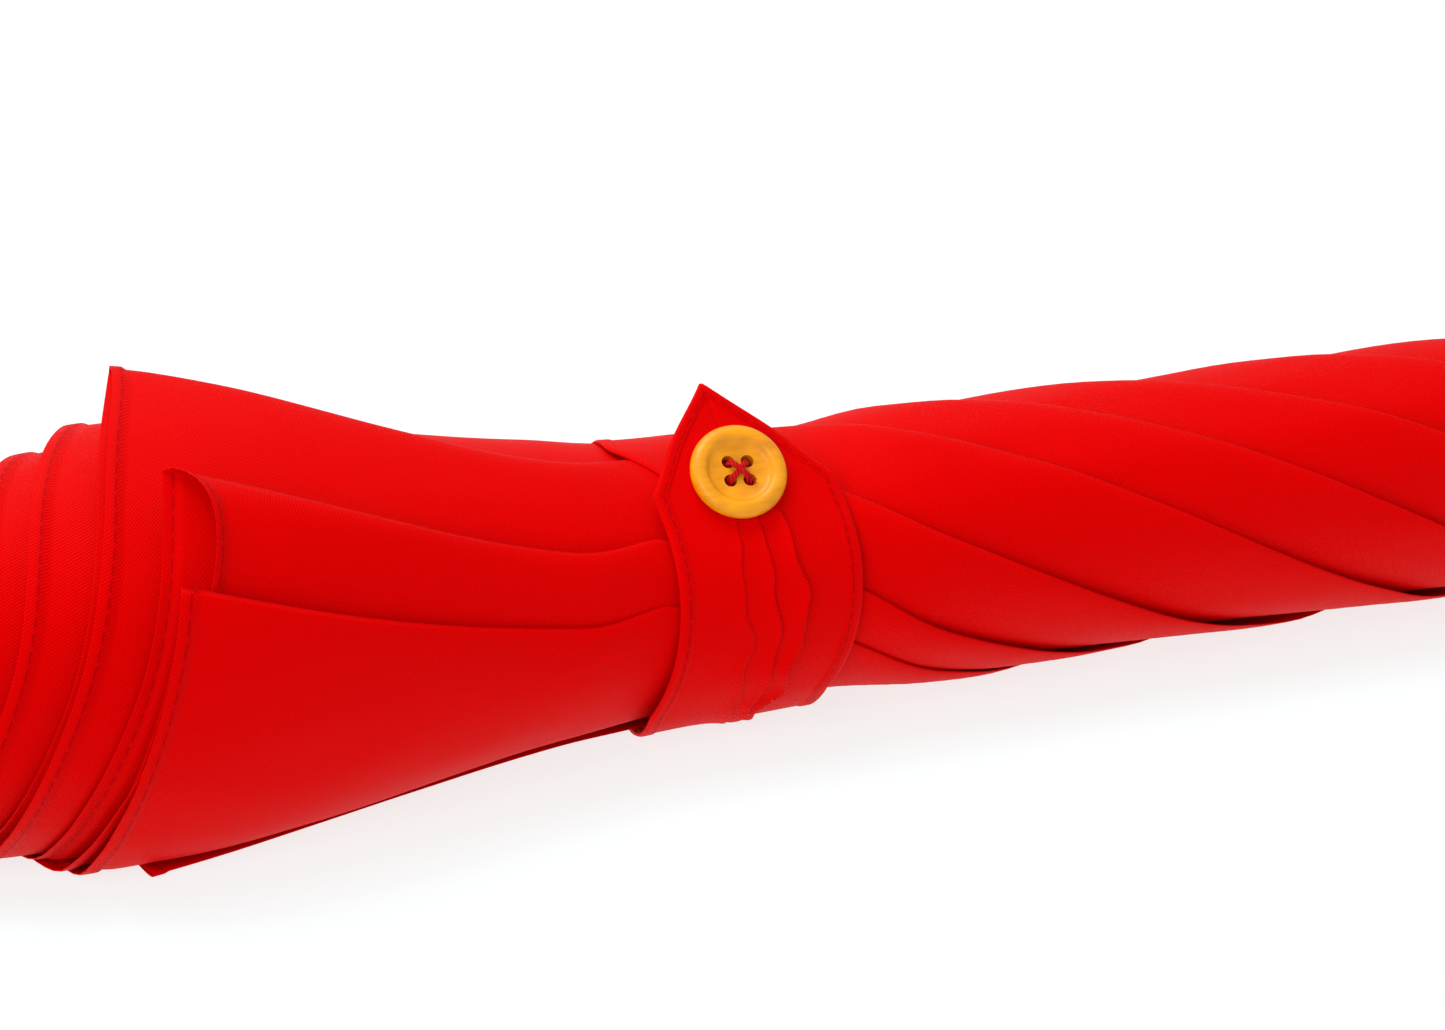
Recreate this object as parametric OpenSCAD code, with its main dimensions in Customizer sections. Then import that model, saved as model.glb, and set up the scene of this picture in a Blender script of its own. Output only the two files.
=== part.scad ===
// Stick umbrella with a crook handle, furled, tied with its strap and lying down.
// +X runs along the shaft towards the ferrule and +Z is up. The origin is on the
// shaft's axis, at the end of the ferrule's straight wall.

/* [Canopy frame] */
// Length of a rib from the crown wire to its end
rib_len = 585; // [580:1:590]
// Distance from the crown wire to the fork, which is also a stretcher's length
fork_dist = 250; // [240:1:255]
// Angle that the ribs turn through from closed to open
open_deg = 78; // [74:1:80]

/* [Furled cloth] */
// Outer radius of the furled cloth under the tie strap
bundle_r = 28.3; // [27.5:0.1:28.5]
// Height of the shaft's axis above the surface that the umbrella lies on
floor_h = 30; // [29.9:0.1:30.4]
// Radius of the hem where it flares out at the top
flare_r = 46; // [36:1:48]

/* [Shaft and handle] */
// Outer radius of the steel shaft
shaft_r = 5; // [4.8:0.1:5.1]
// Radius of the wooden crook's round section
crook_r = 11; // [10:0.5:12]
// Radius of the crook's bend, along its centre line
crook_bend = 50; // [45:1:55]
// Length of the crook's free leg
crook_leg = 50; // [30:1:60]
// Radius of the ferrule's straight part
ferrule_r = 6; // [5.8:0.1:6.5]
// Length of the ferrule's straight part
ferrule_len = 50; // [45:1:52]

/* [Tie strap] */
// Width of the tie strap
strap_w = 42; // [38:1:44]
// Radius of the wooden button
button_r = 10; // [8:0.5:11]
// Thickness of the wooden button
button_t = 4; // [3.5:0.1:4.5]
// Direction that the button faces, from +Y towards +Z
button_az = 135; // [130:1:140]
// Distance from where the tab leaves the roll to the button's centre
button_out = 9.3; // [8:0.1:11]
// Length of the tab beyond where it leaves the roll
tab_len = 29.5; // [26:0.5:32]

/* [Hidden] */
RIBS = 8;
$fn = 48;

RED = "#d8141a";
STEEL = "#b9bcc0";
DARK = "#2a2a2d";
WOOD = "#9a5a2c";
HONEY = "#d98e2b";

step = 360 / RIBS;
press = 0.02;               // radial play of a pressed or glued fit
play = 0.08;                // radial play of a turning fit
pivot_r = 12;               // radius of the crown, fork and runner pivots
wire_r = 0.6;               // radius of both wires and of the rivets
crown_x = -95;
fork_x = crown_x - fork_dist;
runner_x = crown_x - 2 * fork_dist;
runner_open_x = crown_x - 2 * fork_dist * cos(open_deg);
rib_end = crown_x - rib_len;

rib_w = 2.4;                // width of a rib, along the hem
rib_h = 2.2;                // depth of a rib, from inside to outside
rib_in = pivot_r + 1.8;     // inner face of a rib
rib_mid = rib_in + rib_h / 2;
blade_w = 1.6;              // thickness of the eyes that turn in slots
blade_h = 2.4;              // depth of a stretcher
eye_r = 1.7;
cheek_gap = 1.8;            // slot between a fork's cheeks
cheek_w = 0.8;
lug_len = 8;

cloth_t = 1.2;              // thickness that stands for the folded cloth
cloth_gap = 0.35;           // angle left free on each side of a panel
cloth_start = crown_x - 25;
corner_x = crown_x - 500;    // where the hem meets the folded edge of each gore
hem_x = rib_end + 4;
strap_x = -480;
strap_t = 1.2;
strap_in = bundle_r + 0.3;
tab_in = strap_in + strap_t + 0.3;
tab_wrap = 25;              // angle over which the tab still follows the roll

shaft_end = -800;
shaft_top = -60;
shaft_bore = shaft_r - 0.8;
collar_x = -770;
collar_len = 12;
crown_half = 5;
sleeve_r = 9;
sleeve_len = 55;
catch_az = 90;
catch_len = 20;
catch_w = 2.4;
nose_r = 7.4;
lower_catch_x = runner_x - 46;
upper_catch_x = runner_open_x - sleeve_len - catch_len - 2;

function rib_az(i) = step * (i - 0.5);

// Radius of the hem at each panel: widest on top, resting on the surface below.
function hem_r(i) =
    let (up = sin(rib_az(i) + step / 2))
    floor_h + max(0, (flare_r - floor_h) * (up + 0.5) / 1.5);

// Draws its child, made with the radius along +Y, turned to azimuth a.
module at_azimuth(a) {
    rotate([a, 0, 0]) children();
}

// Revolves a profile of [radius, x] points about the shaft's axis.
module turned(from = 0, sweep = 360) {
    rotate([from, 0, 0]) rotate([0, 90, 0]) rotate([0, 0, 90])
        rotate_extrude(angle = sweep) children();
}

// A round bar along X.
module bar_x(x0, x1, r) {
    translate([min(x0, x1), 0, 0]) rotate([0, 90, 0]) cylinder(r = r, h = abs(x1 - x0));
}

// A round pin across a rib or stretcher, centred on the point [x, radius].
module cross_pin(x, rad, r, len) {
    translate([x, rad, 0]) cylinder(r = r, h = len, center = true);
}

// A block from [x0, r0] to [x1, r1], centred on its azimuth.
module block(x0, x1, r0, r1, w) {
    translate([min(x0, x1), r0, -w / 2]) cube([abs(x1 - x0), r1 - r0, w]);
}

module ring_wire(x, r) {
    turned() translate([pivot_r, x]) circle(r = r);
}

module eye_slots(x, w) {
    for (i = [1:RIBS])
        at_azimuth(rib_az(i)) block(x - lug_len, x + lug_len, 10, 20, w);
}

module shaft() {
    color(STEEL)
    difference() {
        bar_x(shaft_end, shaft_top, shaft_r);
        bar_x(shaft_end - 1, shaft_top + 1, shaft_bore);
        at_azimuth(catch_az)
            for (x = [lower_catch_x, upper_catch_x])
                block(x - 0.3, x + catch_len + 0.3, 0, shaft_r + 1, catch_w + 0.2);
        translate([runner_open_x + crown_half + 4, 0, 0])
            rotate([90, 0, 0]) cylinder(r = 1 + press, h = 30, center = true);
    }
}

module handle_collar() {
    color(STEEL)
    turned() polygon([
        [shaft_r + press, collar_x], [crook_r + 0.8, collar_x], [crook_r + 0.8, collar_x + 3],
        [crook_r, collar_x + 4], [crook_r - 2, collar_x + collar_len - 1],
        [crook_r - 3, collar_x + collar_len], [shaft_r + press, collar_x + collar_len]
    ]);
}

// The crook leans over until its free leg lies on the surface with the cloth.
module crook_handle() {
    lean = asin((floor_h - crook_r) / (2 * crook_bend));
    color(WOOD)
    difference() {
        rotate([lean, 0, 0]) union() {
            bar_x(shaft_end, collar_x, crook_r);
            translate([shaft_end, -crook_bend, 0]) rotate([0, 0, 90])
                rotate_extrude(angle = 180) translate([crook_bend, 0]) circle(r = crook_r);
            translate([0, -2 * crook_bend, 0]) {
                bar_x(shaft_end, shaft_end + crook_leg, crook_r);
                translate([shaft_end + crook_leg, 0, 0]) sphere(r = crook_r);
            }
        }
        bar_x(shaft_end, collar_x + 1, shaft_r + press);
    }
}

module stop_pin() {
    color(STEEL)
    translate([runner_open_x + crown_half + 4, 0, 0])
        rotate([90, 0, 0]) cylinder(r = 1, h = 2 * (shaft_r + 2.5), center = true);
}

module ferrule() {
    color(STEEL)
    turned() polygon([
        [0, 2.8], [3.5, 2.4], [5.2, 1.4], [ferrule_r, 0], [ferrule_r, -ferrule_len],
        [8.5, -80], [shaft_r + press, -80], [shaft_r + press, shaft_top + 2],
        [0, shaft_top + 2]
    ]);
}

module canopy_cap() {
    color(STEEL)
    turned() polygon([
        [shaft_r + press, -80.2], [9.5, -80.2], [11.5, -83], [17, -86.6], [17, -88],
        [shaft_r + press, -88]
    ]);
}

module crown_rosette() {
    color(RED) turned() translate([shaft_r + press, -89.6]) square([10.5, 0.8]);
}

module crown_notch() {
    color(DARK)
    difference() {
        turned() translate([shaft_r + press, crown_x - crown_half]) square([9.5, 2 * crown_half]);
        eye_slots(crown_x, blade_w + 0.3);
        ring_wire(crown_x, wire_r + press);
    }
}

module crown_wire() {
    color(STEEL) ring_wire(crown_x, wire_r);
}

module runner_sleeve() {
    tail = runner_x - sleeve_len;
    color(DARK)
    difference() {
        turned() polygon([
            [shaft_r + 0.3, runner_x + crown_half - 1], [13.4, runner_x + crown_half - 1],
            [13.4, runner_x - crown_half], [sleeve_r, runner_x - crown_half - 4],
            [sleeve_r, tail + 8], [sleeve_r + 1.5, tail + 5], [sleeve_r + 1.5, tail + 1],
            [sleeve_r + 0.5, tail], [shaft_r + 0.3, tail]
        ]);
        eye_slots(runner_x, blade_w + 0.3);
        ring_wire(runner_x, wire_r + press);
        at_azimuth(catch_az) {
            block(tail - 1, runner_x + crown_half, shaft_r - 1, nose_r + 0.4, catch_w + 0.6);
            block(lower_catch_x - 2, lower_catch_x + catch_len + 2, shaft_r, 12, 4.2);
        }
    }
}

module runner_wire() {
    color(STEEL) ring_wire(runner_x, wire_r);
}

// A sprung catch in the shaft; face is 1 where its steep side looks to the ferrule.
module spring_catch(x, face) {
    function along(u) = face > 0 ? x + u : x + catch_len - u;
    color(STEEL)
    at_azimuth(catch_az) translate([0, 0, -catch_w / 2]) linear_extrude(catch_w)
        polygon([
            [along(0), 1.2], [along(catch_len), 1.2], [along(catch_len), nose_r],
            [along(catch_len - 3), nose_r], [along(0), shaft_r - 0.2]
        ]);
}

// A rib: its eye turns on the crown wire and its fork holds a stretcher.
module rib(i) {
    color(STEEL)
    at_azimuth(rib_az(i)) difference() {
        union() {
            block(rib_end, crown_x - 5.5, rib_in, rib_in + rib_h, rib_w);
            block(crown_x - lug_len, crown_x, pivot_r - eye_r, pivot_r + eye_r, blade_w);
            block(crown_x - lug_len, crown_x - 5.5, pivot_r, rib_mid, blade_w);
            cross_pin(crown_x, pivot_r, eye_r, blade_w);
            for (side = [-1, 1])
                translate([0, 0, side * (cheek_gap + cheek_w) / 2]) {
                    cross_pin(fork_x, pivot_r, eye_r, cheek_w);
                    block(fork_x - 4, fork_x + 4, pivot_r + 0.4, rib_mid, cheek_w);
                }
        }
        cross_pin(crown_x, pivot_r, wire_r + play, 10);
        cross_pin(fork_x, pivot_r, wire_r + press, 10);
    }
}

module rib_tip(i) {
    color(STEEL)
    at_azimuth(rib_az(i)) difference() {
        translate([0, rib_mid, 0]) union() {
            bar_x(rib_end + 6, rib_end - 1, 2.2);
            translate([rib_end - 1, 0, 0]) sphere(r = 2.6);
        }
        block(rib_end, rib_end + 8, rib_in - press, rib_in + rib_h + press, rib_w + 2 * press);
    }
}

module fork_rivet(i) {
    head = cheek_gap + 2 * cheek_w;
    color(DARK)
    at_azimuth(rib_az(i)) {
        cross_pin(fork_x, pivot_r, wire_r, head + 0.1);
        for (side = [-1, 1])
            translate([0, 0, side * (head / 2 + 0.3)]) cross_pin(fork_x, pivot_r, 1.1, 0.5);
    }
}

module stretcher(i) {
    color(STEEL)
    at_azimuth(rib_az(i)) difference() {
        union() {
            block(runner_x, fork_x, pivot_r - blade_h / 2, pivot_r + blade_h / 2, blade_w);
            cross_pin(runner_x, pivot_r, eye_r - 0.1, blade_w);
            cross_pin(fork_x, pivot_r, eye_r - 0.1, blade_w);
        }
        cross_pin(runner_x, pivot_r, wire_r + play, 10);
        cross_pin(fork_x, pivot_r, wire_r + play, 10);
    }
}

// The folded cloth between rib i and the next one, held in by the strap.
module canopy_panel(i) {
    half = strap_w / 2;
    full = floor_h;
    outer = [
        [19, cloth_start], [25, -230], [full, -345], [full, strap_x + half + 12],
        [bundle_r, strap_x + half], [bundle_r, strap_x - half],
        [full, strap_x - half - 12], [hem_r(i), corner_x], [hem_r(i), hem_x]
    ];
    inner = [for (k = [len(outer) - 1:-1:0]) outer[k] - [cloth_t, 0]];
    color(RED)
    turned(rib_az(i) + cloth_gap, step - 2 * cloth_gap) polygon(concat(outer, inner));
}

module strap_band() {
    color(RED)
    turned() translate([strap_in, strap_x - strap_w / 2]) square([strap_t, strap_w]);
}

// The strap's loose end: it leaves the roll in a straight line and ends in a point.
module strap_tab() {
    side = strap_w / 2 - 1;
    color(RED)
    union() {
        turned(button_az, tab_wrap) translate([tab_in, strap_x - side]) square([strap_t, 2 * side]);
        at_azimuth(button_az) translate([strap_x, tab_in + strap_t, 0]) rotate([90, 0, 0])
            linear_extrude(strap_t) polygon([
                [-side, 0], [side, 0], [side, side - tab_len], [1.5, -tab_len],
                [-1.5, -tab_len], [-side, side - tab_len]
            ]);
    }
}

module button_at(lift) {
    at_azimuth(button_az) translate([strap_x, tab_in + strap_t + lift, -button_out])
        rotate([-90, 0, 0]) children();
}

module button() {
    color(HONEY)
    button_at(0.05) difference() {
        rotate_extrude() polygon([
            [0, 0], [button_r - 2, 0], [button_r, 1.4], [button_r, button_t - 1.2],
            [button_r - 1.2, button_t], [button_r - 2.6, button_t], [button_r - 4, button_t - 1.4],
            [0, button_t - 1.6]
        ]);
        button_holes(1.1, button_t);
    }
}

module button_holes(r, h) {
    for (a = [45:90:315])
        rotate([0, 0, a]) translate([2.8, 0, -0.1]) cylinder(r = r, h = h);
}

// Two crossed stitches over the button, with their legs in its four holes.
module button_thread() {
    color(RED)
    button_at(0.1) {
        for (a = [45, 135])
            rotate([0, 0, a]) translate([-3.6, -0.7, button_t - 1.5]) cube([7.2, 1.4, 1]);
        translate([0, 0, 0.1]) button_holes(0.8, button_t - 1);
    }
}

shaft();
handle_collar();
crook_handle();
stop_pin();
ferrule();
canopy_cap();
crown_rosette();
crown_notch();
crown_wire();
runner_sleeve();
runner_wire();
spring_catch(lower_catch_x, -1);  // lower_catch
spring_catch(upper_catch_x, 1);  // upper_catch
for (i = [1:RIBS]) {
    rib(i);
    rib_tip(i);
    fork_rivet(i);
    stretcher(i);
    canopy_panel(i);
}
strap_band();
strap_tab();
button();
button_thread();
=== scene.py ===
"""The looks of a furled stick umbrella: its rolled cloth, tie strap, button and finishes."""
import math

import bmesh
import bpy
from bpy.props import FloatProperty, FloatVectorProperty, IntProperty, StringProperty
from mathutils import Matrix, Vector, noise


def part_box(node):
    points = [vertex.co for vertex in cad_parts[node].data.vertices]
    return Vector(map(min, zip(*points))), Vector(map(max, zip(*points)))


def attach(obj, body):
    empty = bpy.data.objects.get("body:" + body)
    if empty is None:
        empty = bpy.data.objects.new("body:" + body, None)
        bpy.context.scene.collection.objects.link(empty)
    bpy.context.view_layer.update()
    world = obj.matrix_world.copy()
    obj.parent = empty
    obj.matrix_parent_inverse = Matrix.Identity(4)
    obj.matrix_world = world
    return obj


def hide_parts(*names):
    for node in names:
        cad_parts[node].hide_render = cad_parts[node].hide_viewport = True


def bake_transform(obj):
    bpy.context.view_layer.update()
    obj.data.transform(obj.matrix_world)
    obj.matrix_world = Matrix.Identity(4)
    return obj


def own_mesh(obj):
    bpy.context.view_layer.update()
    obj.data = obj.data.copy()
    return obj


bl_info = {
    "name": "Stick umbrella",
    "version": (1, 0, 0),
    "blender": (4, 5, 0),
    "location": "3D View > Sidebar > Umbrella",
    "description": "Builds the cloth, strap, button and finishes of a furled stick umbrella",
    "category": "Add Mesh",
}

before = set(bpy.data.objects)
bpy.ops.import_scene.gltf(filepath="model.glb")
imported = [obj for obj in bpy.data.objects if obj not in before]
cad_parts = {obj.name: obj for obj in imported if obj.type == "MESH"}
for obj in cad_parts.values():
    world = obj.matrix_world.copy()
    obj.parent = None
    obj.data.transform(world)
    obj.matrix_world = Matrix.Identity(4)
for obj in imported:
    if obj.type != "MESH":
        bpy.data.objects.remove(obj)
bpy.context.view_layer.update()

MM = 0.001
GORES = 8
STEP = 2 * math.pi / GORES
FLOOR_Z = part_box("canopy_panel_6")[0][2]
CROWN_X = sum(corner[0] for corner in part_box("crown_wire")) / 2
STRAP_X = sum(corner[0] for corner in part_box("strap_band")) / 2
STRAP_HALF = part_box("strap_band")[1][0] - STRAP_X
RIB_LENGTH = CROWN_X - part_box("rib_1")[0][0]


def smooth(t):
    """0 below 0, 1 above 1 and a smooth rise between them."""
    t = min(1.0, max(0.0, t))
    return t * t * (3 - 2 * t)


def ramp(t, low, high):
    return smooth((t - low) / (high - low))


def around(x, radius, azimuth):
    """A point at an azimuth from +Y towards +Z about the shaft."""
    return Vector((x, radius * math.cos(azimuth), radius * math.sin(azimuth)))


# ---------------------------------------------------------------- settings


class UmbrellaCloth(bpy.types.PropertyGroup):
    colour: StringProperty(name="Cloth", description="Colour of the pongee", default="E60000")
    # This colour is painted shade: the cloth darkens towards it between the twill threads and along
    # the stitching.
    painted_shade: StringProperty(name="Deep folds", description="Colour between threads", default="BE0002")
    thread: StringProperty(name="Thread", description="Sewing thread", default="B80005")
    twill: FloatProperty(
        name="Twill spacing", description="Distance between twill lines",
        default=0.62 * MM, unit="LENGTH")
    half_angle: FloatProperty(
        name="Half gore", description="Angle between a rib and the fold of its gore",
        default=math.radians(22.15), subtype="ANGLE")
    inner: FloatProperty(
        name="Inner radius", description="Radius at which the roll starts",
        default=17.1 * MM, unit="LENGTH")
    thickness: FloatProperty(
        name="Thickness", description="Thickness of the cloth", default=0.22 * MM, unit="LENGTH")
    phase: FloatProperty(
        name="Phase", description="Turn of the whole roll about the shaft",
        default=math.radians(12), subtype="ANGLE")
    unroll: FloatProperty(
        name="Unroll", description="How far the folded edges turn back at the loose hem",
        default=math.radians(72), subtype="ANGLE")


class UmbrellaStrap(bpy.types.PropertyGroup):
    radius: FloatProperty(
        name="Radius", description="Radius of the strap's inner layer",
        default=28.9 * MM, unit="LENGTH")
    seam: FloatProperty(
        name="Seam", description="Distance of the stitching from the edge",
        default=2.0 * MM, unit="LENGTH")
    stitch: FloatProperty(
        name="Stitch", description="Length of one stitch and its gap",
        default=2.6 * MM, unit="LENGTH")
    facing: FloatProperty(
        name="Facing", description="Azimuth that the button faces and the tab leaves the roll at",
        default=math.radians(135), subtype="ANGLE")
    seam_end: FloatProperty(
        name="Band end", description="Azimuth on the front where the band and the tab piece meet",
        default=math.radians(165), subtype="ANGLE")
    tab: FloatProperty(
        name="Tab", description="Length of the tab beyond the roll", default=29.5 * MM,
        unit="LENGTH")


class UmbrellaButton(bpy.types.PropertyGroup):
    radius: FloatProperty(
        name="Radius", description="Radius of the button", default=9.7 * MM, unit="LENGTH")
    out: FloatProperty(
        name="Out", description="From where the tab leaves the roll to the button's centre",
        default=9.3 * MM, unit="LENGTH")
    hole: FloatProperty(
        name="Hole", description="Radius of a hole", default=1.2 * MM, unit="LENGTH")
    spread: FloatProperty(
        name="Spread", description="Distance of a hole from the centre", default=2.75 * MM,
        unit="LENGTH")
    wood: StringProperty(name="Wood", description="Honey lacquered wood", default="F5A002")
    dark: StringProperty(name="Grain", description="Darker grain", default="D88502")


class UmbrellaStage(bpy.types.PropertyGroup):
    azimuth: FloatProperty(
        name="Azimuth", description="Where the camera stands round the umbrella",
        default=math.radians(-18), subtype="ANGLE")
    elevation: FloatProperty(
        name="Elevation", description="Height of the camera above the horizon",
        default=math.radians(25), subtype="ANGLE")
    distance: FloatProperty(
        name="Distance", description="From the camera to the strap", default=0.53, unit="LENGTH")
    lens: FloatProperty(name="Lens", description="Focal length in millimetres", default=64.1)
    aside: FloatProperty(
        name="Aside", description="How far left of the strap the camera aims",
        default=-0.6 * MM, unit="LENGTH")
    above: FloatProperty(
        name="Above", description="How far above the strap the camera aims",
        default=11.5 * MM, unit="LENGTH")


def settings(name):
    return getattr(bpy.context.scene, "umbrella_" + name)


# ---------------------------------------------------------------- materials


def linear(hex_colour):
    """An sRGB hex colour as linear red, green, blue and alpha."""
    parts = [int(hex_colour[i:i + 2], 16) / 255 for i in (0, 2, 4)]
    return [p / 12.92 if p <= 0.04045 else ((p + 0.055) / 1.055) ** 2.4 for p in parts] + [1.0]


def add(tree, kind, inputs=None, **values):
    """Adds a node, sets its values and joins or sets its inputs."""
    made = tree.nodes.new("ShaderNode" + kind)
    for key, value in values.items():
        setattr(made, key, value)
    for key, value in (inputs or {}).items():
        if isinstance(value, bpy.types.NodeSocket):
            tree.links.new(value, made.inputs[key])
        else:
            made.inputs[key].default_value = value
    return made


def bump(tree, shader, height, strength, depth):
    """Raises the surface by a height, without moving it."""
    made = add(tree, "Bump", {"Height": height, "Strength": strength, "Distance": depth})
    tree.links.new(made.outputs[0], shader.inputs["Normal"])


def material(name, colour, **shader):
    made = bpy.data.materials.new(name)
    made.use_nodes = True
    tree = made.node_tree
    principled = tree.nodes["Principled BSDF"]
    principled.inputs["Base Color"].default_value = linear(colour)
    for key, value in shader.items():
        principled.inputs[key.replace("_", " ").title().replace("Ior", "IOR")].default_value = value
    return made, tree, principled


def mix(tree, factor, first, second):
    """The colour that lies a factor of the way from the first to the second."""
    return add(tree, "Mix", {0: factor, 6: first, 7: second}, data_type="RGBA").outputs[2]


def maths(tree, operation, *values):
    return add(tree, "Math", dict(enumerate(values)), operation=operation).outputs[0]


def cloth_material():
    """Polyester pongee in a fine twill: a soft sheen, close diagonal threads with painted shade
    between them, sewn edges with painted shade along the stitching.
    """
    cloth, strap = settings("cloth"), settings("strap")
    made, tree, shader = material(
        "woven polyester pongee", cloth.colour, roughness=0.6, sheen_weight=0.05,
        sheen_roughness=0.4, specular_ior_level=0.1)
    shader.inputs["Sheen Tint"].default_value = linear("FF1008")
    shader.inputs["Specular Tint"].default_value = linear("FF4840")
    weave = add(tree, "UVMap", uv_map="weave").outputs[0]
    place = add(tree, "SeparateXYZ", {0: weave})
    turn = 2 * math.pi / cloth.twill
    along = maths(tree, "ADD", place.outputs[0], place.outputs[1])
    across = maths(tree, "SUBTRACT", place.outputs[0], place.outputs[1])
    line = maths(tree, "SINE", maths(tree, "MULTIPLY", along, turn))
    cross = maths(tree, "SINE", maths(tree, "MULTIPLY", across, turn * 0.73))
    threads = maths(tree, "MULTIPLY_ADD", cross, 0.35, line)
    slub = add(tree, "TexNoise", {"Vector": weave, "Scale": 900.0, "Detail": 2.0})
    relief = maths(tree, "MULTIPLY_ADD", slub.outputs[0], 0.8, threads)
    # Sewn edges: the seam map runs along the stitching and away from the edge.
    seam = add(tree, "SeparateXYZ", {0: add(tree, "UVMap", uv_map="seam").outputs[0]})
    offset = maths(tree, "ABSOLUTE", maths(tree, "SUBTRACT", seam.outputs[1], strap.seam))
    on_line = maths(tree, "LESS_THAN", offset, 0.2 * MM)
    dash = maths(tree, "FRACT", maths(tree, "DIVIDE", seam.outputs[0], strap.stitch))
    stitch = maths(tree, "MULTIPLY", on_line, maths(tree, "LESS_THAN", dash, 0.72))
    # A band along the stitching is sunk by the bump and darkened with painted shade, as shade would
    # fall in the groove.
    seam_groove_sunk_and_shaded = maths(tree, "LESS_THAN", offset, 0.75 * MM)
    # Painted shade between the threads: the colour darkens along the twill lines.
    shade = add(tree, "MapRange", {0: threads, 1: -1.35, 2: 1.35, 3: 0.0, 4: 1.0})
    weave_shade = mix(tree, shade.outputs[0], linear(cloth.painted_shade), linear(cloth.colour))
    tone = mix(tree, 0.75, linear(cloth.colour), weave_shade)
    seam_groove_shaded = mix(tree, maths(tree, "MULTIPLY", seam_groove_sunk_and_shaded, 0.25), tone, linear(cloth.painted_shade))
    tree.links.new(mix(tree, stitch, seam_groove_shaded, linear(cloth.thread)), shader.inputs["Base Color"])
    height = maths(tree, "MULTIPLY_ADD", stitch, 6.0, relief)
    sunk = maths(tree, "MULTIPLY_ADD", seam_groove_sunk_and_shaded, -2.5, height)
    bump(tree, shader, sunk, 0.35, 0.06 * MM)
    return made


def button_material():
    """Turned hardwood with a honey lacquer: clear gloss over fine, uneven grain."""
    button = settings("button")
    made, tree, shader = material(
        "turned and lacquered wood", button.wood, roughness=0.4, specular_ior_level=0.25,
        coat_weight=0.18, coat_roughness=0.15)
    place = add(tree, "TexCoord").outputs["Object"]
    stretched = add(tree, "Mapping", {0: place, 3: (180.0, 900.0, 900.0)})
    grain = add(tree, "TexNoise", {"Vector": stretched.outputs[0], "Scale": 1.0, "Detail": 4.0})
    cloud = add(tree, "TexNoise", {"Vector": place, "Scale": 160.0, "Detail": 2.0})
    blotch = maths(tree, "MULTIPLY_ADD", cloud.outputs[0], 0.6, maths(
        tree, "MULTIPLY", grain.outputs[0], 0.6))
    depth = add(tree, "MapRange", {0: blotch, 1: 0.42, 2: 0.82})
    tone = mix(tree, depth.outputs[0], linear(button.wood), linear(button.dark))
    tree.links.new(tone, shader.inputs["Base Color"])
    bump(tree, shader, grain.outputs[0], 0.15, 0.1 * MM)
    return made


def crook_material():
    """Steam-bent beech, stained and lacquered: long grain, small flecks and a clear gloss."""
    made, tree, shader = material(
        "stained and lacquered beech", "7A3F1B", roughness=0.35, coat_weight=0.5,
        coat_roughness=0.1)
    place = add(tree, "TexCoord").outputs["Object"]
    stretched = add(tree, "Mapping", {0: place, 3: (22.0, 160.0, 260.0)})
    grain = add(tree, "TexNoise", {"Vector": stretched.outputs[0], "Scale": 1.6, "Detail": 6.0})
    fleck = add(tree, "Mapping", {0: place, 3: (120.0, 900.0, 900.0)})
    pores = add(tree, "TexNoise", {"Vector": fleck.outputs[0], "Scale": 1.0, "Detail": 2.0})
    lines = add(tree, "MapRange", {0: grain.outputs[0], 1: 0.35, 2: 0.65})
    dark = add(tree, "MapRange", {0: pores.outputs[0], 1: 0.6, 2: 0.7})
    tone = mix(tree, lines.outputs[0], linear("5E2C10"), linear("94552A"))
    tone = mix(tree, maths(tree, "MULTIPLY", dark.outputs[0], 0.5), tone, linear("3A1A0A"))
    tree.links.new(tone, shader.inputs["Base Color"])
    bump(tree, shader, pores.outputs[0], 0.12, 0.1 * MM)
    return made


def metal_material(name, colour, rough, brushed):
    """Plated steel: bright, with fine marks along the drawn tube or wire."""
    made, tree, shader = material(name, colour, metallic=1.0, roughness=rough)
    place = add(tree, "TexCoord").outputs["Object"]
    drawn = add(tree, "Mapping", {0: place, 3: brushed})
    marks = add(tree, "TexNoise", {"Vector": drawn.outputs[0], "Scale": 1.0, "Detail": 3.0})
    worn = add(tree, "MapRange", {0: marks.outputs[0], 3: rough * 0.7, 4: rough * 1.4})
    tree.links.new(worn.outputs[0], shader.inputs["Roughness"])
    bump(tree, shader, marks.outputs[0], 0.08, 0.05 * MM)
    return made


def plastic_material():
    """Moulded nylon: satin black with a fine spark-eroded grain."""
    made, tree, shader = material("moulded black nylon", "17171A", roughness=0.42)
    place = add(tree, "TexCoord").outputs["Object"]
    grain = add(tree, "TexNoise", {"Vector": place, "Scale": 2200.0, "Detail": 2.0})
    worn = add(tree, "MapRange", {0: grain.outputs[0], 3: 0.34, 4: 0.52})
    tree.links.new(worn.outputs[0], shader.inputs["Roughness"])
    bump(tree, shader, grain.outputs[0], 0.2, 0.04 * MM)
    return made


def thread_material():
    """Spun polyester thread: matt, with its twist showing as fine slanted lines."""
    made, tree, shader = material(
        "spun polyester thread", settings("cloth").thread, roughness=0.75, specular_ior_level=0.15)
    place = add(tree, "TexCoord").outputs["Object"]
    twist = add(tree, "TexWave", {"Vector": place, "Scale": 500.0, "Distortion": 2.0})
    tone = mix(tree, twist.outputs[1], linear("9E0206"), linear("D20810"))
    tree.links.new(tone, shader.inputs["Base Color"])
    bump(tree, shader, twist.outputs[1], 0.5, 0.1 * MM)
    return made


def finish_of(name, make):
    """The material of that name, made once."""
    return bpy.data.materials.get(name) or make()


def cloth_finish():
    return finish_of("woven polyester pongee", cloth_material)


# ---------------------------------------------------------------- meshes


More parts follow.
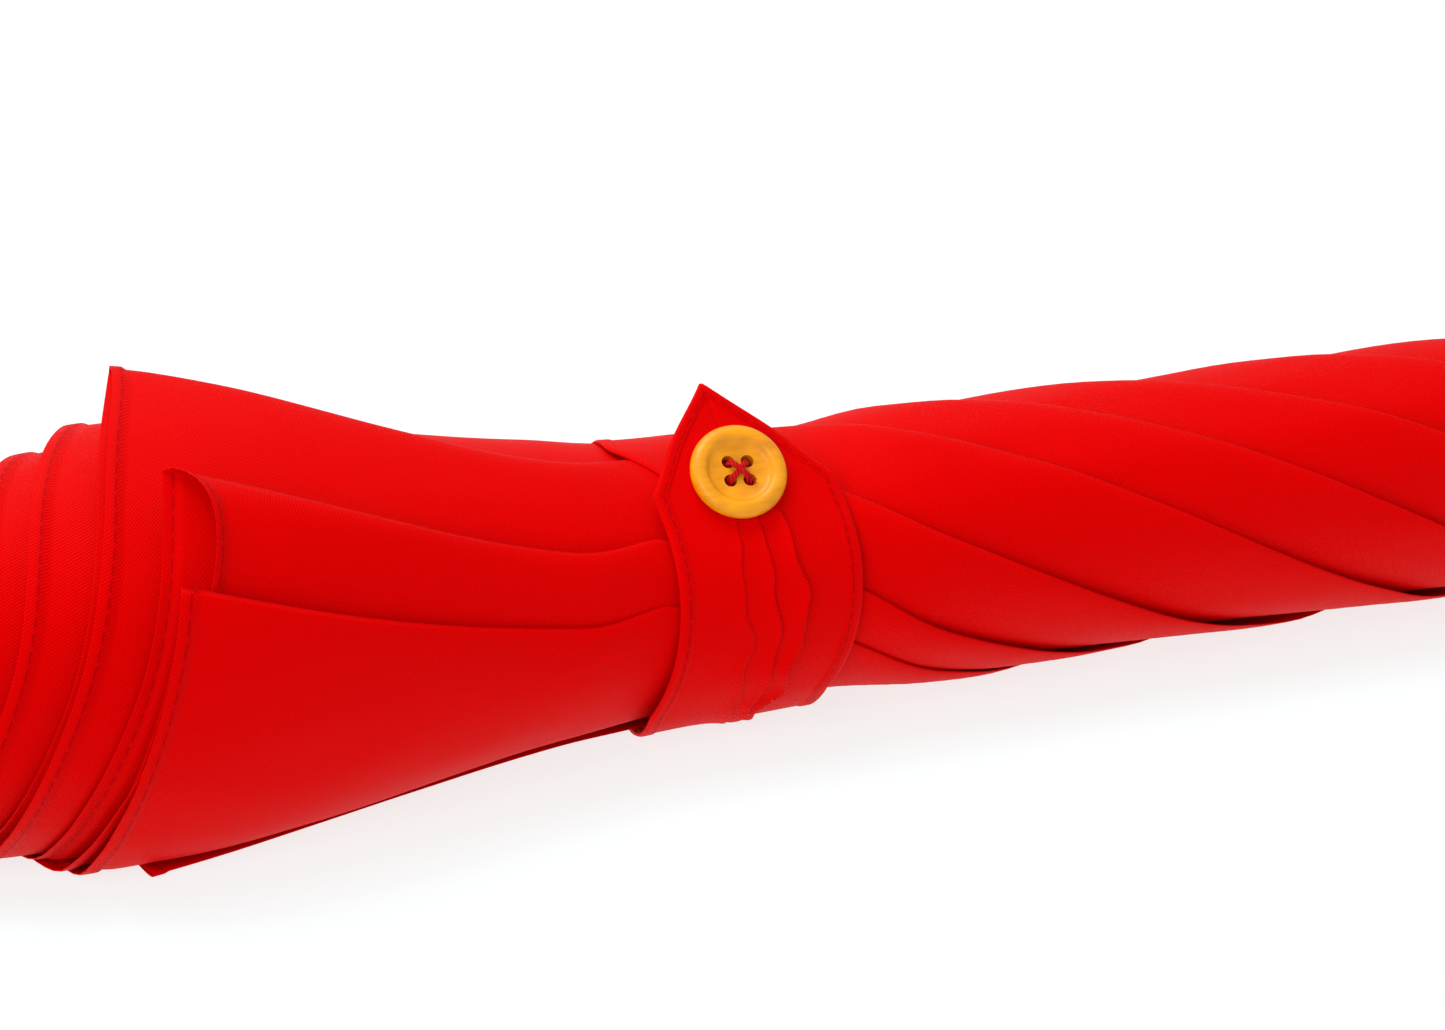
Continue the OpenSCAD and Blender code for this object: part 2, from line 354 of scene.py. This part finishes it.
def new_object(name, data):
    """An object in the scene, at the origin."""
    made = bpy.data.objects.new(name, data)
    bpy.context.scene.collection.objects.link(made)
    return made


def new_piece(name, mesh, finish):
    """An object with smooth faces and one material."""
    made = new_object(name, mesh)
    mesh.materials.clear()
    mesh.materials.append(finish)
    mesh.shade_smooth()
    return made


def mesh_of(work, name):
    """The mesh of what was drawn, which is then let go."""
    mesh = bpy.data.meshes.new(name)
    work.to_mesh(mesh)
    work.free()
    return mesh


def evaluated_mesh(piece):
    """A new mesh of a piece as its modifiers or its bevel leave it."""
    bpy.context.view_layer.update()
    shape = piece.evaluated_get(bpy.context.evaluated_depsgraph_get())
    return bpy.data.meshes.new_from_object(shape)


def in_fixed_order(mesh):
    """The same mesh with its vertices and faces in an order that no run changes.

    A boolean cut leaves them in an order of its own, and so its wide faces would be split into
    other triangles each time."""
    order = sorted(range(len(mesh.vertices)), key=lambda index: tuple(mesh.vertices[index].co))
    rank = {old: new for new, old in enumerate(order)}
    faces = []
    for face in mesh.polygons:
        corners = [rank[index] for index in face.vertices]
        first = corners.index(min(corners))
        faces.append(corners[first:] + corners[:first])
    made = bpy.data.meshes.new(mesh.name)
    made.from_pydata([mesh.vertices[index].co for index in order], [], sorted(faces))
    for finish in mesh.materials:
        made.materials.append(finish)
    return made


def cloth_grid(name, columns, rows, place):
    """A grid whose place(a, b) gives a point, its weave place and its seam place.

    a and b run from 0 to 1 across and along the piece."""
    work = bmesh.new()
    bmesh.ops.create_grid(work, x_segments=columns, y_segments=rows, size=0.5)
    weave = work.loops.layers.uv.new("weave")
    seam = work.loops.layers.uv.new("seam")
    placed = {v: place(v.co.x + 0.5, v.co.y + 0.5) for v in work.verts}
    for face in work.faces:
        for loop in face.loops:
            loop[weave].uv, loop[seam].uv = placed[loop.vert][1:]
    for vert, values in placed.items():
        vert.co = values[0]
    return mesh_of(work, name)


def thicken(piece, thickness, offset=0.0):
    made = piece.modifiers.new("thickness", "SOLIDIFY")
    made.thickness = thickness
    made.offset = offset


def keep_rims_sharp(piece):
    """Applies the thickness, so that two pieces can meet without a shaded line."""
    made = evaluated_mesh(piece)
    piece.modifiers.clear()
    piece.data = made
    made.shade_smooth()
    made.set_sharp_from_angle(angle=math.radians(60))


# ---------------------------------------------------------------- the roll

# How far down its rib the folded corner of a gore lies.
CORNER_S = 0.502
# A spanned gore is tucked inside the roll. It starts clear of the crown notch and ends short of
# the rib tips, and its hem curves in by a share of its length.
TUCKED_R = 16.5 * MM
CROWN_GAP = 9 * MM
TIP_GAP = 3 * MM
HEM_CURVE = 0.075
# How far in from a folded edge it is rounded, and how far in it stands off the layer beneath.
FOLD_ROUND = 3.0 * MM
FOLD_STAND = 11 * MM
# Width of the turned hem, and by how much it thickens each layer outwards.
HEM_WIDTH = 3.2 * MM
HEM_STEP = 0.25 * MM
# Height above the floor from which the cloth is pressed flat.
PRESSED = 4.0 * MM
# How the folded corner of some gores lies at the hem: degrees further round than the even
# spacing, millimetres drawn back towards the ferrule, millimetres further out.
CORNERS = {
    2: (5, 0, 0), 3: (0, 0, 2.5), 4: (4, 2.5, 0), 5: (23, -0.5, 0), 6: (-14, -5, -3), 8: (-6, 0, 0)}
# Gores whose outer layer curls back from its hem, and by how much.
CURLED = {3: 1.5 * MM, 4: 7.0 * MM, 7: 3.0 * MM}


def roll_radius(s):
    """Outer radius of the rolled cloth, s metres along a rib from the crown.

    In millimetres: the crown's radius, four swellings and the strap's dent."""
    radius = 17.7 + 1.8 * ramp(s, 0.0, 0.03) + 5.6 * ramp(s, 0.01, 0.15)
    radius += 3.2 * ramp(s, 0.08, 0.22) + 1.6 * ramp(s, 0.37, 0.42)
    return (radius - 0.7 * under_strap(s)) * MM


def under_strap(s):
    """1 where the strap holds the roll, fading to 0 on both sides."""
    near = abs(s - (CROWN_X - STRAP_X)) - STRAP_HALF
    return 1 - ramp(near, -0.005, 0.018)


def hem_radius(azimuth):
    """Radius to which the loose hem opens, widest low on the front."""
    return (46 + math.cos(azimuth - math.radians(200))) * MM


def rest_on_floor(point):
    """Presses what would go below the floor flat against it, keeping layers in order."""
    height = point.z - FLOOR_Z
    if height < PRESSED:
        lifted = PRESSED * math.exp((height - PRESSED) / PRESSED)
        point = Vector((point.x, point.y, FLOOR_Z + lifted))
    return point


class Roll:
    """The spiral in which a gore's two layers lie round the shaft."""

    def __init__(self, s):
        cloth = settings("cloth")
        self.s = s
        self.inner = cloth.inner
        self.outer = max(roll_radius(s), cloth.inner + 0.4 * MM)
        self.reach = max(s * math.tan(cloth.half_angle), 0.1 * MM)
        self.turns = 2 * self.reach / (self.inner + self.outer)
        self.pitch = (self.outer - self.inner) / self.turns
        start, end = CROWN_X - STRAP_X + STRAP_HALF, CORNER_S + 0.01
        self.loose = ramp(s, start, end)
        self.unrolled = min(1.0, max(0.0, (s - start) / (end - start)))

    def wrapped(self, h):
        """The angle wrapped by a stretch of cloth h from the rib."""
        root = math.sqrt(self.inner ** 2 + 2 * self.pitch * max(h, 0.0))
        return (root - self.inner) / self.pitch

    def point(self, gore, h, outer_layer, hem):
        """Where the cloth lies h from its rib, on one of its layers."""
        cloth = settings("cloth")
        angle = self.wrapped(h)
        edge = self.reach - h
        base = gore * STEP + cloth.phase
        out = h / self.reach
        early, back, lift = CORNERS.get(gore, (0, 0, 0))
        azimuth = base - angle + cloth.unroll * self.unrolled * out
        azimuth -= math.radians(early) * ramp(self.s, 0.15, 0.33) * out
        radius = self.inner + self.pitch * angle
        # The folded edge is round: its outer layer stands off most a little way in.
        plump = (0.7 + 1.4 * (1 - abs(2 * ramp(self.s, 0.25, 0.52) - 1))) * MM
        stand = plump * math.exp(-edge / FOLD_STAND) * (1 - 0.75 * under_strap(self.s))
        round_off = 1 - math.exp(-edge / FOLD_ROUND)
        radius += stand * (0.55 + 0.45 * round_off)
        gap = (0.3 * MM + 0.5 * stand) * round_off
        radius += gap if outer_layer else -0.2 * MM * round_off
        if hem < HEM_WIDTH:
            radius += HEM_STEP if outer_layer else -HEM_STEP
        # Open the hem: everything outside the ribs spreads, most of all the folded edges.
        spread = (hem_radius(azimuth) - self.inner) / (self.outer - self.inner)
        radius = self.inner + (radius - self.inner) * (1 + (spread - 1) * self.loose)
        flare = 3.5 * (1 + math.cos(azimuth - math.radians(100))) * MM
        radius += (flare + lift * MM) * self.loose * math.exp(-edge / (14 * MM))
        x = CROWN_X - self.s
        x += back * MM * self.loose * math.exp(-edge / (70 * MM))
        # The hems bow towards the ferrule where they hang free at the front.
        x += 5.5 * MM * math.exp(-hem / (60 * MM)) * max(0.0, math.cos(azimuth - 2.6)) ** 4
        if outer_layer and gore in CURLED:
            free = (1 - math.exp(-edge / (5 * MM))) * math.exp(-edge / (50 * MM))
            free *= CURLED[gore] * math.exp(-hem / (22 * MM))
            x += 1.9 * free
            radius += 0.5 * free * math.exp(-hem / (9 * MM)) + 0.15 * free
        radius += self.slack(x, azimuth)
        return rest_on_floor(around(x, radius, azimuth))

    def slack(self, x, azimuth):
        """Soft unevenness that all the layers share."""
        free = 1 - math.exp(-max(0.0, abs(x - STRAP_X) - STRAP_HALF) / (30 * MM))
        spot = Vector((x / 0.055, 1.6 * math.cos(azimuth), 1.6 * math.sin(azimuth)))
        fine = Vector((x / 0.022, 4 * math.cos(azimuth), 4 * math.sin(azimuth)))
        rough = noise.noise(spot) * 1.1 + noise.noise(fine) * 0.3
        return rough * MM * (0.25 + 0.75 * free) * ramp(self.s, 0.0, 0.08)


def gore_place(gore):
    """Lays a gore's flat cut, folded in half along its middle, round the shaft."""
    half = settings("cloth").half_angle
    height = RIB_LENGTH * math.cos(half)
    half_base = RIB_LENGTH * math.sin(half)

    def place(a, b):
        across = math.copysign(abs(2 * a - 1) ** 1.35, 2 * a - 1)
        down = 0.004 + 0.996 * (1 - (1 - b) ** 1.5)
        flat = Vector((across * down * half_base, down * height))
        turn = half - math.atan2(abs(flat.x), flat.y)
        s, h = flat.length * math.cos(turn), flat.length * math.sin(turn)
        hem = (1 - down) * height
        point = Roll(s).point(gore, h, across < 0, hem)
        seam = (flat.x, hem)
        return point, flat, seam

    return place


def tucked_place(gore):
    """The same gore where it meets its ribs, narrow as in the furled roll."""
    first = (gore - 0.5) * STEP
    half = settings("cloth").half_angle

    def place(a, b):
        length = RIB_LENGTH - TIP_GAP - CROWN_GAP
        s = CROWN_GAP + b * length * (1 - HEM_CURVE * math.sin(math.pi * a))
        point = around(CROWN_X - s, TUCKED_R, first + a * STEP)
        flat = Vector(((2 * smooth(a) - 1) * s * math.sin(half), s * math.cos(half)))
        return point, flat, (flat.x, (1 - b) * RIB_LENGTH)

    return place


class UMBRELLA_OT_open_canopy(bpy.types.Operator):
    """Spans each gore between its two ribs"""
    bl_idname = "umbrella.open_canopy"
    bl_label = "Open canopy"

    def execute(self, context):
        for gore in range(1, GORES + 1):
            name = f"spanned_gore_{gore}"
            mesh = cloth_grid(name, 32, 80, tucked_place(gore))
            piece = new_piece(name, mesh, cloth_finish())
            thicken(piece, settings("cloth").thickness)
            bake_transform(piece)
        return {"FINISHED"}


class UMBRELLA_OT_furled_canopy(bpy.types.Operator):
    """Rolls the eight folded gores round the ribs"""
    bl_idname = "umbrella.furled_canopy"
    bl_label = "Furled canopy"
    columns: IntProperty(name="Columns", description="Columns of faces in a gore", default=150)
    rows: IntProperty(name="Rows", description="Rows of faces in a gore", default=150)

    def execute(self, context):
        half = settings("cloth").half_angle
        for gore in range(1, GORES + 1):
            name = f"furled_gore_{gore}"
            mesh = cloth_grid(name, self.columns, self.rows, gore_place(gore))
            piece = new_piece(name, mesh, cloth_finish())
            thicken(piece, settings("cloth").thickness)
            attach(piece, "shaft_group")
            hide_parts(f"canopy_panel_{gore}")
            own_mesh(piece)
        return {"FINISHED"}


# ---------------------------------------------------------------- the tie strap

# Folds that run along the strap: place across it, height and how far they wander.
PLEATS = ((-3.4, 0.7, 1.7), (0.9, 1.1, -1.5), (5.0, 1.9, 2.0))
STRAP_THICKNESS = 0.55 * MM
# How far the outer end lies above the band beneath it.
FRONT_LIFT = 1.1 * MM
# Half the strap's width where it is gathered, and how much wider the roll is at its left.
GATHERED_HALF = STRAP_HALF * 0.9
TAPER = 0.03
# How far round the band goes, and by what share it narrows behind.
BAND_TURN = math.radians(350)
NARROWED = 0.16


def bow(azimuth):
    """How far the strap leans towards the ferrule at the front, and back above and below."""
    off = min(math.radians(60), max(math.radians(-60), azimuth - math.radians(155)))
    return (1.7 - 5.5 * (1 - math.cos(1.5 * off))) * MM


def pleats(across, azimuth):
    """Height of the gathered folds, which show most between the button and the floor."""
    shown = ramp(azimuth, math.radians(116), math.radians(146))
    shown *= 1 - ramp(azimuth, math.radians(215), math.radians(262))
    height = 0.0
    for place, size, wander in PLEATS:
        swing = math.sin(2.4 * (azimuth - math.radians(112)) + place)
        swing += 1.1 * noise.noise(Vector((place, 4.0 * azimuth, 0)))
        step = across / MM - place - wander * swing
        if step < 0.12:
            height += size * math.exp(min(step, 0.0) / 2.6) * (1 - ramp(step, -0.25, 0.12))
    return height * MM * shown


def edge_relief(rim):
    """The thick, turned edge and its rounded rim, rim millimetres in from the strap's side."""
    return 0.25 * MM * (1 - ramp(rim, 2.6, 3.0)) - 0.35 * MM * (1 - ramp(rim, 0.0, 0.7))


def strap_sag(across, azimuth):
    """Slight dips of the strap where the folds of the roll give under it."""
    spot = Vector((across / 0.016, 3.4 * math.cos(azimuth), 3.4 * math.sin(azimuth)))
    return noise.noise(spot) * 0.3 * MM


def band_place(a, b):
    """The band, from the front down, round behind and over the top to end beneath the tab."""
    strap = settings("strap")
    across = (2 * a - 1) * GATHERED_HALF
    azimuth = strap.seam_end + b * BAND_TURN
    lift = FRONT_LIFT * (1 - ramp(azimuth, math.radians(240), math.radians(305)))
    radius = strap.radius + lift + pleats(across, azimuth) + strap_sag(across, azimuth)
    behind = ramp(azimuth, math.radians(385), math.radians(425))
    under_tab = ramp(azimuth, math.radians(443), math.radians(477))
    radius -= TAPER * across
    aside = bow(azimuth) * (1 - ramp(azimuth, math.radians(225), math.radians(335)))
    aside += 1.5 * MM * under_tab
    aside -= 7 * MM * behind * (1 - under_tab)
    across *= 1 - NARROWED * behind
    radius += edge_relief((GATHERED_HALF * (1 - NARROWED * behind) - abs(across)) / MM)
    point = around(STRAP_X + across + aside, radius, azimuth)
    arc = strap.radius * b * BAND_TURN
    return point, Vector((across, -arc)), (arc, GATHERED_HALF - abs(across))


def front_place(a, b):
    """The strap's outer end: it follows the roll up the front, then runs straight to its tip."""
    strap = settings("strap")
    radius = strap.radius + FRONT_LIFT
    curved = radius * (strap.seam_end - strap.facing)
    run = b * (curved + strap.tab)
    out = run - curved
    left = curved + strap.tab - run
    width = min(GATHERED_HALF, 0.4 * MM + left * 0.82 + 0.9 * MM * math.sin(left * 140) ** 2)
    across = (2 * a - 1) * width
    azimuth = strap.seam_end - run / radius
    height = pleats(across, max(azimuth, math.radians(112))) + strap_sag(across, azimuth)
    height += edge_relief((width - abs(across)) / MM)
    if out > 0:
        height -= 0.35 * MM * math.exp(-abs(across) / (0.35 * MM)) * ramp(out, 0.01, 0.016)
        height += 0.5 * MM * math.sin(out * 120) * (across / GATHERED_HALF) ** 2
    far = max(out, 0.0)
    azimuth = max(azimuth, strap.facing)
    height -= TAPER * across
    aside = bow(azimuth) - 0.17 * far
    normal = around(0, 1, azimuth)
    forward = around(0, 1, azimuth - math.pi / 2)
    point = Vector((STRAP_X + across + aside, 0, 0)) + normal * (radius + height) + forward * far
    return point, Vector((across, run)), (run, width - abs(across))


class UMBRELLA_OT_tie_strap(bpy.types.Operator):
    """Wraps the gathered strap round the roll and lays its pointed end under the button"""
    bl_idname = "umbrella.tie_strap"
    bl_label = "Tie strap"

    def execute(self, context):
        strap = settings("strap")
        mesh = cloth_grid("tie_strap_band", 150, 300, band_place)
        band = new_piece("tie_strap_band", mesh, cloth_finish())
        thicken(band, STRAP_THICKNESS)
        keep_rims_sharp(band)
        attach(band, "rib3")
        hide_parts("strap_band")
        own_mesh(band)
        mesh = cloth_grid("tie_strap_front", 150, 90, front_place)
        front = new_piece("tie_strap_front", mesh, cloth_finish())
        thicken(front, STRAP_THICKNESS)
        keep_rims_sharp(front)
        start = around(STRAP_X, strap.radius, strap.seam_end)
        end = around(STRAP_X, strap.radius, math.radians(146))
        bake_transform(front)
        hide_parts("strap_tab")
        return {"FINISHED"}


# ---------------------------------------------------------------- button and thread


# Degrees round the button at which its four holes lie.
HOLE_ANGLES = (40, 130, 220, 310)
RIM_R = 1.9 * MM
# Places of the strands side by side in a hole, and how far apart they lie in millimetres.
STRANDS = (-1.0, -0.35, 0.3, 0.95)
STRAND_GAP = 0.42
STRAND_R = 0.27 * MM
# Angle and length in millimetres of each loose end.
LOOSE_ENDS = ((0.2, 1.6), (0.9, 1.9), (1.7, 1.3))


def button_frame():
    """Matrix that turns a button drawn upright at the origin into its place on the tab."""
    strap, button = settings("strap"), settings("button")
    outward = around(0, 1, strap.facing)
    back = around(0, 1, strap.facing - math.pi / 2)
    lift = strap.radius + FRONT_LIFT + 0.5 * MM
    place = Vector((STRAP_X - 1.4 * MM, 0, 0)) + outward * lift + back * button.out
    turn = Matrix((Vector((1, 0, 0)), back, outward)).transposed().to_4x4()
    return Matrix.Translation(place) @ turn


def lathe(work, profile, steps):
    """Spins an outline of (radius, height) points about Z into a closed solid."""
    verts = [work.verts.new((radius, 0, height)) for radius, height in profile]
    edges = [work.edges.new(pair) for pair in zip(verts, verts[1:])]
    bmesh.ops.spin(work, geom=verts + edges, cent=(0, 0, 0), axis=(0, 0, 1),
                   angle=2 * math.pi, steps=steps, use_merge=True)
    bmesh.ops.remove_doubles(work, verts=work.verts, dist=1e-6)
    bmesh.ops.recalc_face_normals(work, faces=work.faces)


def hole_places(distance):
    return [Vector((distance * math.cos(a), distance * math.sin(a), 0))
            for a in (math.radians(angle) for angle in HOLE_ANGLES)]


class UMBRELLA_OT_button(bpy.types.Operator):
    """Turns the four-hole button and sews it on with crossed thread"""
    bl_idname = "umbrella.button"
    bl_label = "Button and thread"

    def execute(self, context):
        self.disc()
        self.thread()
        return {"FINISHED"}

    def disc(self):
        """A raised, rounded rim about a shallow dish, then four holes."""
        r = settings("button").radius
        steps = [math.radians(a) for a in range(-90, 91, 15)]
        rim = [(r - RIM_R + RIM_R * math.cos(a), 1.95 * MM + RIM_R * math.sin(a)) for a in steps]
        dish = [(r - 2.6 * MM, 3.75 * MM), (r - 3.1 * MM, 3.35 * MM), (r - 3.5 * MM, 2.75 * MM),
                (r - 4.0 * MM, 2.5 * MM), (r * 0.3, 2.35 * MM), (0, 2.3 * MM)]
        work = bmesh.new()
        lathe(work, [(0, 0.05 * MM)] + rim + dish, 96)
        wood = finish_of("turned and lacquered wood", button_material)
        made = new_piece("button_disc", mesh_of(work, "button_disc"), wood)
        work = bmesh.new()
        for place in hole_places(settings("button").spread):
            turn = Matrix.Translation(place + Vector((0, 0, 2 * MM)))
            bmesh.ops.create_cone(work, cap_ends=True, segments=24, depth=8 * MM, matrix=turn,
                                  radius1=settings("button").hole,
                                  radius2=settings("button").hole * 1.15)
        drill = new_object("drill", mesh_of(work, "drill"))
        cut = made.modifiers.new("holes", "BOOLEAN")
        cut.operation = "DIFFERENCE"
        cut.object = drill
        drilled = in_fixed_order(evaluated_mesh(made))
        made.modifiers.clear()
        made.data = drilled
        bpy.data.objects.remove(drill)
        made.data.transform(button_frame())
        for face in made.data.polygons:
            face.use_smooth = True
        made.data.set_sharp_from_angle(angle=math.radians(50))
        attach(made, "tie_tab")
        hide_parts("button")

    def thread(self):
        """Strands that cross from hole to hole, dive through the button and fray a little."""
        places = hole_places(settings("button").spread)
        curve = bpy.data.curves.new("button_sewing", "CURVE")
        curve.dimensions = "3D"
        curve.bevel_depth = STRAND_R
        curve.bevel_resolution = 2
        curve.resolution_u = 10
        curve.use_fill_caps = True
        for pair, rise in (((0, 2), 3.3), ((1, 3), 3.75)):
            first, last = places[pair[0]], places[pair[1]]
            run = (last - first).normalized()
            side = Vector((-run.y, run.x, 0))
            for strand in STRANDS:
                shift = side * strand * STRAND_GAP * MM
                top = rise * MM - abs(strand) * 0.15 * MM
                self.strand(curve, [
                    first + shift + Vector((0, 0, 0.6 * MM)),
                    first + shift * 1.1 + run * 0.15 * MM + Vector((0, 0, 2.2 * MM)),
                    first + shift + run * 0.9 * MM + Vector((0, 0, top - 0.3 * MM)),
                    (first + last) / 2 + shift * 0.7 + Vector((0, 0, top)),
                    last + shift - run * 0.9 * MM + Vector((0, 0, top - 0.3 * MM)),
                    last + shift * 1.1 - run * 0.15 * MM + Vector((0, 0, 2.2 * MM)),
                    last + shift + Vector((0, 0, 0.6 * MM))])
        for turn, length in LOOSE_ENDS:
            way = Vector((math.cos(turn), -math.sin(turn), 0))
            start = places[3] - way * 0.3 * MM
            self.strand(curve, [
                start + Vector((0, 0, 2.0 * MM)),
                start + way * length * 0.5 * MM + Vector((0, 0, 3.1 * MM)),
                start + way * length * MM + Vector((0, 0, 2.9 * MM))], 0.35)
        maker = new_object("sewing", curve)
        mesh = evaluated_mesh(maker)
        mesh.transform(button_frame())
        bpy.data.objects.remove(maker)
        thread = finish_of("spun polyester thread", thread_material)
        made = new_piece("button_sewing", mesh, thread)
        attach(made, "tie_tab")
        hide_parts("button_thread")

    def strand(self, curve, points, thin=1.0):
        spline = curve.splines.new("BEZIER")
        spline.bezier_points.add(len(points) - 1)
        for bead, point in zip(spline.bezier_points, points):
            bead.co = point
            bead.handle_left_type = bead.handle_right_type = "AUTO"
            bead.radius = thin


# ---------------------------------------------------------------- stage


class UMBRELLA_OT_stage(bpy.types.Operator):
    """Makes the floor, the lights and the camera"""
    bl_idname = "umbrella.stage"
    bl_label = "Stage"

    def execute(self, context):
        self.floor()
        self.lights()
        self.camera()
        return {"FINISHED"}

    def floor(self):
        work = bmesh.new()
        bmesh.ops.create_grid(work, x_segments=1, y_segments=1, size=4.0)
        bmesh.ops.translate(work, verts=work.verts, vec=(STRAP_X, 0, FLOOR_Z))
        mesh = mesh_of(work, "floor")
        paper, _, shader = material("white paper sweep", "738686", roughness=0.9)
        shader.inputs["Emission Color"].default_value = (1, 1, 1, 1)
        shader.inputs["Emission Strength"].default_value = 0.78
        mesh.materials.append(paper)
        made = new_object("floor", mesh)

    def lights(self):
        scene = bpy.context.scene
        scene.view_settings.view_transform = "Standard"
        scene.world = scene.world or bpy.data.worlds.new("studio")
        scene.world.use_nodes = True
        sky = scene.world.node_tree.nodes["Background"]
        sky.inputs[0].default_value = (1, 1, 1, 1)
        sky.inputs[1].default_value = 0.62
        centre = Vector((STRAP_X, 0, 0))
        for name, place, size, power in (
            ("softbox above", (-0.35, 0.35, 1.3), 1.0, 14.0),
            ("softbox left", (-1.0, -0.9, 0.8), 0.8, 7.0),
        ):
            lamp = bpy.data.lights.new(name, "AREA")
            lamp.size = size
            lamp.energy = power
            made = new_object(name, lamp)
            made.location = centre + Vector(place)
            made.rotation_mode = "QUATERNION"
            made.rotation_quaternion = Vector(place).to_track_quat("Z", "Y")

    def camera(self):
        stage = settings("stage")
        a, e = stage.azimuth, stage.elevation
        back = Vector((math.sin(a) * math.cos(e), -math.cos(a) * math.cos(e), math.sin(e)))
        right = Vector((math.cos(a), math.sin(a), 0))
        up = back.cross(right)
        aim = Vector((STRAP_X, 0, 0)) - right * stage.aside + up * stage.above
        lens = bpy.data.cameras.new("camera")
        lens.lens = stage.lens
        lens.clip_start = 0.01
        made = new_object("camera", lens)
        made.rotation_mode = "QUATERNION"
        made.rotation_quaternion = back.to_track_quat("Z", "Y")
        made.location = aim + back * stage.distance
        bpy.context.scene.camera = made


class UMBRELLA_OT_finishes(bpy.types.Operator):
    """Gives the metal, wood and plastic parts their finishes"""
    bl_idname = "umbrella.finishes"
    bl_label = "Finishes"

    def execute(self, context):
        along = (40.0, 2500.0, 2500.0)
        steel = metal_material("nickel-plated drawn steel", "C4C6CA", 0.24, along)
        spring = metal_material("bright spring steel", "AEB2B8", 0.3, (1500.0, 1500.0, 1500.0))
        finishes = {
            "crook_handle": crook_material(), "crown_notch": plastic_material(),
            "button": finish_of("turned and lacquered wood", button_material),
            "button_thread": finish_of("spun polyester thread", thread_material),
            "crown_rosette": cloth_finish(),
        }
        finishes["runner_sleeve"] = finishes["crown_notch"]
        for wire in ("crown_wire", "runner_wire", "lower_catch", "upper_catch"):
            finishes[wire] = spring
        for name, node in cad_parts.items():
            node.data.materials.clear()
            node.data.materials.append(finishes.get(name, steel))
        return {"FINISHED"}


class UMBRELLA_PT_panel(bpy.types.Panel):
    bl_idname = "UMBRELLA_PT_panel"
    bl_label = "Stick umbrella"
    bl_space_type = "VIEW_3D"
    bl_region_type = "UI"
    bl_category = "Umbrella"

    def draw(self, context):
        for name, _ in SETTINGS:
            group = settings(name)
            for key in group.bl_rna.properties.keys():
                if key not in ("rna_type", "name"):
                    self.layout.prop(group, key)
        for operator in OPERATORS:
            self.layout.operator(operator.bl_idname)


SETTINGS = (
    ("cloth", UmbrellaCloth), ("strap", UmbrellaStrap), ("button", UmbrellaButton),
    ("stage", UmbrellaStage),
)
OPERATORS = (
    UMBRELLA_OT_finishes,
    UMBRELLA_OT_open_canopy,
    UMBRELLA_OT_furled_canopy,
    UMBRELLA_OT_tie_strap,
    UMBRELLA_OT_button,
    UMBRELLA_OT_stage,
)


def register():
    for name, group in SETTINGS:
        bpy.utils.register_class(group)
        setattr(bpy.types.Scene, "umbrella_" + name, bpy.props.PointerProperty(type=group))
    for item in OPERATORS + (UMBRELLA_PT_panel,):
        bpy.utils.register_class(item)


def unregister():
    for item in reversed(OPERATORS + (UMBRELLA_PT_panel,)):
        bpy.utils.unregister_class(item)
    for name, group in reversed(SETTINGS):
        delattr(bpy.types.Scene, "umbrella_" + name)
        bpy.utils.unregister_class(group)


def main():
    register()
    for operator in OPERATORS:
        group, name = operator.bl_idname.split(".")
        getattr(getattr(bpy.ops, group), name)()


if __name__ == "__main__":
    main()
